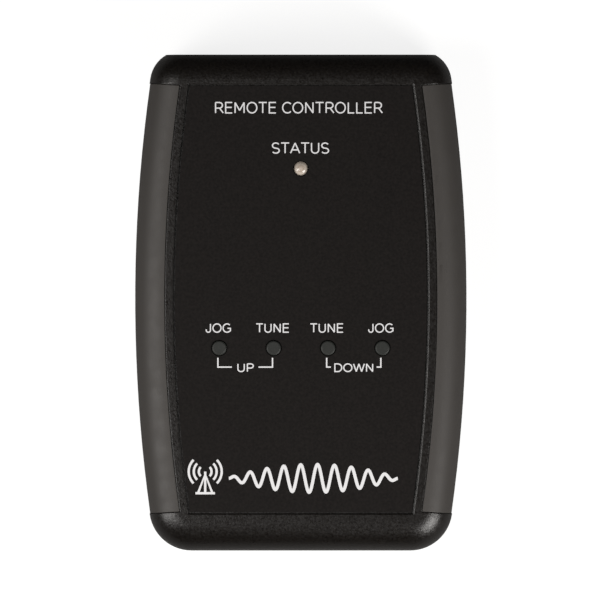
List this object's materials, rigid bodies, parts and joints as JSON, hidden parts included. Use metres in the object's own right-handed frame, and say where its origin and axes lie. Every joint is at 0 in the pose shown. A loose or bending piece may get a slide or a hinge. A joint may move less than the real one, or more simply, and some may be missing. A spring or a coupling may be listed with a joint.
{
  "type": "antenna tuner remote control",
  "caption": "Hand-held push-button remote for a motor-driven antenna tuner: bowed two-part case with soft side grips, key row, status light, output jack and hinged battery door.",
  "frame": {"origin": "middle of the case in plan, on the surface it lies on (its rear face)", "axes": "+Z out of the front face with the keys, +Y towards the flat end with the output jack, +X to the right of somebody looking at the front"},
  "size_m": [0.0784, 0.1174, 0.0246],
  "materials": {
    "case": "fine spark-eroded ABS",
    "grip": "soft matte moulding",
    "label": "matte film",
    "panel": "fine spark-eroded ABS",
    "button": "satin",
    "lens": "diffused epoxy",
    "screw": "zinc plated",
    "board": "solder mask",
    "tin": "tinned",
    "spring_steel": "bright",
    "black_part": "moulded",
    "ceramic_part": "fired",
    "can": "sleeved can",
    "jacket": "printed steel",
    "cells": "stands for the cells' density",
    "clip": "soft moulding",
    "red_lead": "PVC",
    "black_lead": "PVC"
  },
  "bodies": {
    "remote": {"battery_cells": "cells", "battery_clip": "clip", "battery_end_plates": "black_part", "battery_jacket": "jacket", "battery_lead_black": "black_lead", "battery_lead_red": "red_lead", "battery_terminals": "tin", "board_screws": "screw", "case_screws": "screw", "chip_capacitors": "ceramic_part", "chip_leads": "tin", "chip_resistors": "ceramic_part", "end_panel": "panel", "face_label": "label", "front_shell": "case", "jack_contacts": "tin", "jog_down_switch_base": "black_part", "jog_down_switch_cover": "tin", "jog_down_switch_dome": "spring_steel", "jog_up_switch_base": "black_part", "jog_up_switch_cover": "tin", "jog_up_switch_dome": "spring_steel", "led_leads": "tin", "left_grip": "grip", "main_board": "board", "microcontroller": "black_part", "motor_driver": "black_part", "output_jack": "black_part", "rear_shell": "case", "reservoir_capacitor": "can", "right_grip": "grip", "status_led": "lens", "switch_legs": "tin", "tune_down_switch_base": "black_part", "tune_down_switch_cover": "tin", "tune_down_switch_dome": "spring_steel", "tune_up_switch_base": "black_part", "tune_up_switch_cover": "tin", "tune_up_switch_dome": "spring_steel", "voltage_regulator": "black_part"},
    "jog_up": {"jog_up_button": "button"},
    "tune_up": {"tune_up_button": "button"},
    "tune_down": {"tune_down_button": "button"},
    "jog_down": {"jog_down_button": "button"},
    "battery_cover": {"battery_door": "case", "battery_door_latch": "case"}
  },
  "joints": [
    {"name": "jog_up_press", "type": "slide", "parent": "remote", "child": "jog_up", "axis": [0, 0, -1], "range_m": [0, 0.00025], "stiffness_N_per_m": 4000, "springref_m": -0.00015, "deforming": ["jog_up_switch_dome"]},
    {"name": "tune_up_press", "type": "slide", "parent": "remote", "child": "tune_up", "axis": [0, 0, -1], "range_m": [0, 0.00025], "stiffness_N_per_m": 4000, "springref_m": -0.00015, "deforming": ["tune_up_switch_dome"]},
    {"name": "tune_down_press", "type": "slide", "parent": "remote", "child": "tune_down", "axis": [0, 0, -1], "range_m": [0, 0.00025], "stiffness_N_per_m": 4000, "springref_m": -0.00015, "deforming": ["tune_down_switch_dome"]},
    {"name": "jog_down_press", "type": "slide", "parent": "remote", "child": "jog_down", "axis": [0, 0, -1], "range_m": [0, 0.00025], "stiffness_N_per_m": 4000, "springref_m": -0.00015, "deforming": ["jog_down_switch_dome"]},
    {"name": "battery_door_hinge", "type": "hinge", "parent": "remote", "child": "battery_cover", "pos_m": [0, -0.0479, 0.00135], "axis": [-1, 0, 0], "range_deg": [0, 95], "deforming": ["battery_door_latch"]}
  ]
}
